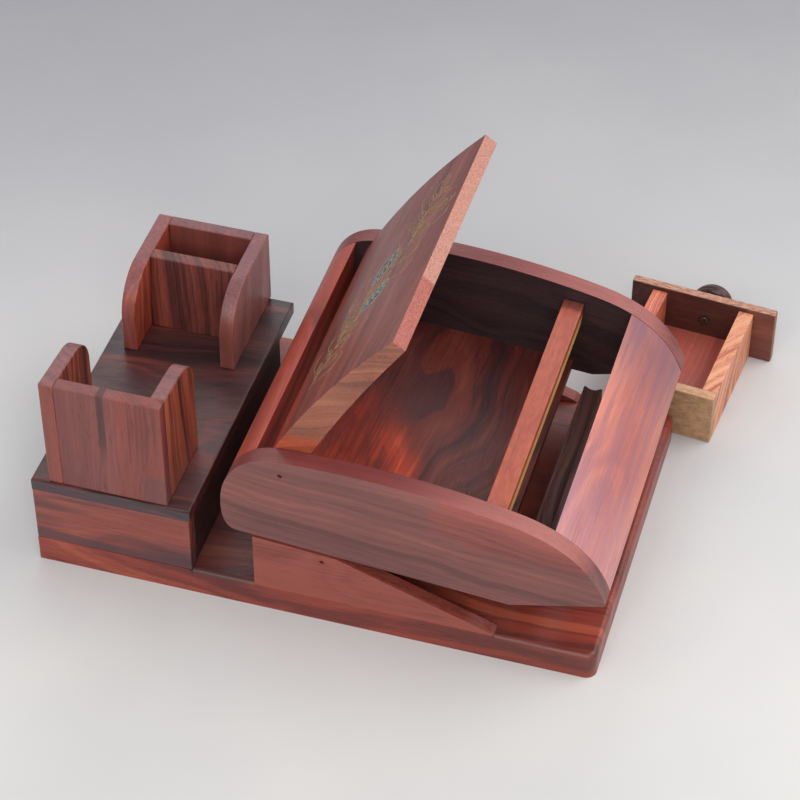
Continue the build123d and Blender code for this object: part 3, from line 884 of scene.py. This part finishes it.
def inlaid_lines(name, skin, strokes, width, material):
    """Strokes given in mm along and across the lid, laid on its outer face."""
    first, last = 3.0, 55.5     # the lines stay this far along the lid, in mm from its pin
    above = LID_OUT * 30 * MM
    height, sink = 0.05 * MM, 0.04 * MM
    shell = bmesh.new()
    for stroke in strokes:
        points, normals = [], []
        for u, v in stroke:
            start = lid_pin + (LID_ALONG * u + Y * v) * MM + above
            hit, normal, _, _ = skin.ray_cast(start, -LID_OUT)
            if hit is not None and first < u < last:
                points.append(hit)
                normals.append(normal)
        if len(points) > 3:
            ribbon(shell, points, normals, width * MM, height, sink)
    mesh_piece(name, shell, "lid", material)


def spun(profile, origin, axis, across, segments=48):
    """Surface of revolution: profile is (distance along the axis, radius) in mm."""
    third = axis.cross(across).normalized()
    angles = [2 * math.pi * index / segments for index in range(segments)]
    spokes = [across * math.cos(angle) + third * math.sin(angle) for angle in angles]
    shell = bmesh.new()
    skinned(shell, [
        [origin + (axis * along + spoke * radius) * MM for spoke in spokes]
        for along, radius in profile])
    return shell


def drawer_reach(node):
    """Where a turned part of the drawer starts, on its own axis, and its length in mm."""
    low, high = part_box(node)
    reach = [vertex.co.dot(DRAWER_ALONG) for vertex in nodes[node].data.vertices]
    middle = (low + high) / 2
    start = middle + DRAWER_ALONG * (min(reach) - middle.dot(DRAWER_ALONG))
    return start, (max(reach) - min(reach)) / MM


def turned_knob():
    """Mushroom knob with two turned rings round its brim and a rounded crown."""
    low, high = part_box("drawer_knob")
    start, length = drawer_reach("drawer_knob")
    radius = (high.z - low.z) / 2 / MM
    # Shares of the length and of the radius: foot, waist, brim with its rings, crown.
    outline = [
        (0.0, 0.50), (0.04, 0.51), (0.09, 0.42), (0.15, 0.37), (0.24, 0.36), (0.29, 0.42),
        (0.33, 0.62), (0.38, 0.82), (0.43, 0.94), (0.47, 0.965), (0.485, 0.93), (0.50, 0.975),
        (0.56, 0.995), (0.61, 0.965), (0.625, 0.925), (0.64, 0.94), (0.72, 0.86), (0.81, 0.72),
        (0.89, 0.54), (0.95, 0.35), (0.985, 0.19), (0.995, 0.08),
    ]
    profile = [(length * along, radius * out) for along, out in outline]
    shell = spun(profile, start, DRAWER_ALONG, DRAWER_ACROSS)
    knob_wood = board(
        "knob", "knob", DRAWER_ALONG, Z, (0.01, 0.004), 29.0, None, roughness=0.34, wear=0.8)
    knob = mesh_piece("turned_knob", shell, "drawer", knob_wood)
    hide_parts("drawer_knob")


def slotted_screw():
    """Dark countersunk screw head with a slot, on the inside of the drawer's front."""
    head, length = drawer_reach("knob_screw")
    # Dished face, rim, underside of the head, shank and its blunt end.
    profile = [
        (0.16, 0.12), (0.10, 0.7), (0.12, 1.35), (0.3, 1.58), (0.88, 1.6), (0.9, 1.0),
        (length - 1.5, 0.95), (length, 0.2),
    ]
    shell = spun(profile, head, DRAWER_ALONG, DRAWER_ACROSS, 32)
    slot = (DRAWER_ACROSS * 0.8 + Z * 0.6).normalized()
    face_depth, slot_half_width, slot_depth = 0.25 * MM, 0.4 * MM, 0.3 * MM
    for vertex in shell.verts:
        offset = vertex.co - head
        aside = (offset - slot * offset.dot(slot)).length
        if offset.dot(DRAWER_ALONG) < face_depth and aside < slot_half_width:
            vertex.co += DRAWER_ALONG * slot_depth
    screw = mesh_piece("slotted_screw", shell, "drawer", STEEL)
    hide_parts("knob_screw")


def glue_bead():
    """Thin uneven bead of old glue in the corner behind the front wedge's foot."""
    low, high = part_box("front_wedge")
    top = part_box("base_board")[1].z
    end_gap, sunk, steps = 1.0 * MM, 0.05 * MM, 90
    rows = []
    for index in range(steps + 1):
        x = low.x + end_gap + (high.x - low.x - 2 * end_gap) * index / steps
        wobble = 0.5 + 0.5 * math.sin(index * 1.93) * math.sin(index * 0.71 + 1.2)
        size = (0.22 + 0.38 * wobble) * MM
        corner = Vector((x, high.y, top))
        rows.append([
            corner + Vector((0, -sunk, -sunk)),
            corner + Vector((0, size, -sunk)),
            corner + Vector((0, size * 0.45, size * 0.40)),
            corner + Vector((0, -sunk, size * 0.9)),
        ])
    shell = bmesh.new()
    skinned(shell, rows)
    old_glue = board("old_glue", "old_glue", X, Z, (0.02, 0.01), 30.0, None, roughness=0.5)
    mesh_piece("wedge_glue_bead", shell, "base", old_glue)


lid_skin = surface_of("lid_panel", "lid_leaf_inlay")
inlaid_lines("lid_gilt_scroll", lid_skin, vine(), 0.36, GILT)
inlaid_lines("lid_leaf_veins", lid_skin, leaf_veins(), 0.42, PALE_LINE)
turned_knob()
slotted_screw()
glue_bead()


# ---------------------------------------------------------------- floor, light and camera
def pale_floor():
    """Matt off-white sheet, faintly mottled, with painted shade that greys it towards the back, more
    at the back left, and a little in front; far larger than the view.
    """
    material, g, shader = shaded("pale_paper")
    where = g.add("TexCoord").outputs["Object"]
    field = g.noise(where, 9.0, 4.0, 0.5)
    colour = g.mix(g.step(field, 0.3, 0.7), tone(206, 205, 205), tone(213, 211, 209))
    # Painted shade: the sheet greys towards the back, the back left and a little in front.
    far = by_position(g, "Y", -0.04, 0.46)
    colour = scaled(g, colour, far, (0.40, 0.40, 0.44))
    back_left_shade = g.product(by_position(g, "Y", -0.08, 0.12), by_position(g, "X", 0.22, -0.32))
    colour = scaled(g, colour, back_left_shade, (0.66, 0.66, 0.70))
    near = by_position(g, "Y", -0.02, -0.22)
    colour = scaled(g, colour, near, (0.90, 0.90, 0.89))
    fine = g.noise(where, 1600.0, 3.0)
    matt = g.math("ADD", g.math("MULTIPLY", fine, 0.1), 0.8)
    wire_surface(g, shader, colour, matt, fine, 0.1, 0.05)
    shader.inputs["Specular IOR Level"].default_value = 0.2

    shell = bmesh.new()
    bmesh.ops.create_grid(shell, x_segments=8, y_segments=8, size=6.0)
    sheet = meshed("floor", shell, material)
    sheet.location.z = -0.05 * MM


def soft_light(name, place, target, width, height, power, colour):
    """Rectangular panel aimed at a target. Sizes in metres, power in watts."""
    data = bpy.data.lights.new(name, "AREA")
    data.shape = "RECTANGLE"
    data.size, data.size_y = width, height
    data.energy = power
    data.color = colour
    lamp = placed(name, data)
    lamp.location = place
    lamp.rotation_mode = "QUATERNION"
    lamp.rotation_quaternion = (Vector(target) - Vector(place)).to_track_quat("-Z", "Y")


def world_fill(strength, colour):
    """Even light from all round."""
    world = bpy.data.worlds.new("studio")
    world.use_nodes = True
    background = world.node_tree.nodes["Background"]
    background.inputs["Color"].default_value = (*colour, 1.0)
    background.inputs["Strength"].default_value = strength
    bpy.context.scene.world = world


def photo_camera():
    """Looks down on the front from a little to the right, through a long lens, 0.8 m away."""
    distance = 0.8001
    data = bpy.data.cameras.new("camera")
    data.sensor_width = 36.0
    data.lens = 120.2
    data.clip_start, data.clip_end = 0.05, 30.0
    camera = placed("camera", data)
    yaw, pitch, roll = math.radians(16.39), math.radians(42.97), math.radians(0.11)
    forward = Vector((
        -math.sin(yaw) * math.cos(pitch), math.cos(yaw) * math.cos(pitch), -math.sin(pitch)))
    target = Vector((-1.47, 41.15, 0.0)) * MM
    camera.location = target - forward * distance
    camera.rotation_mode = "QUATERNION"
    level = forward.to_track_quat("-Z", "Y")
    camera.rotation_quaternion = level @ Matrix.Rotation(roll, 3, "Z").to_quaternion()
    bpy.context.scene.camera = camera


pale_floor()
world_fill(0.66, (0.95, 0.97, 1.0))
soft_light("window", (0.95, 0.45, 1.15), (0.0, 0.0, 0.0), 1.2, 1.0, 11.0, (1.0, 0.985, 0.96))
soft_light("front_key", (0.15, -1.2, 1.05), (0.0, 0.0, 0.0), 1.3, 0.9, 13.0, (1.0, 0.98, 0.955))
soft_light("back_sheen", (-0.45, 1.25, 0.95), (0.0, 0.0, 0.03), 1.0, 0.6, 3.0, (0.92, 0.95, 1.0))
photo_camera()
bpy.context.scene.view_settings.view_transform = "Standard"
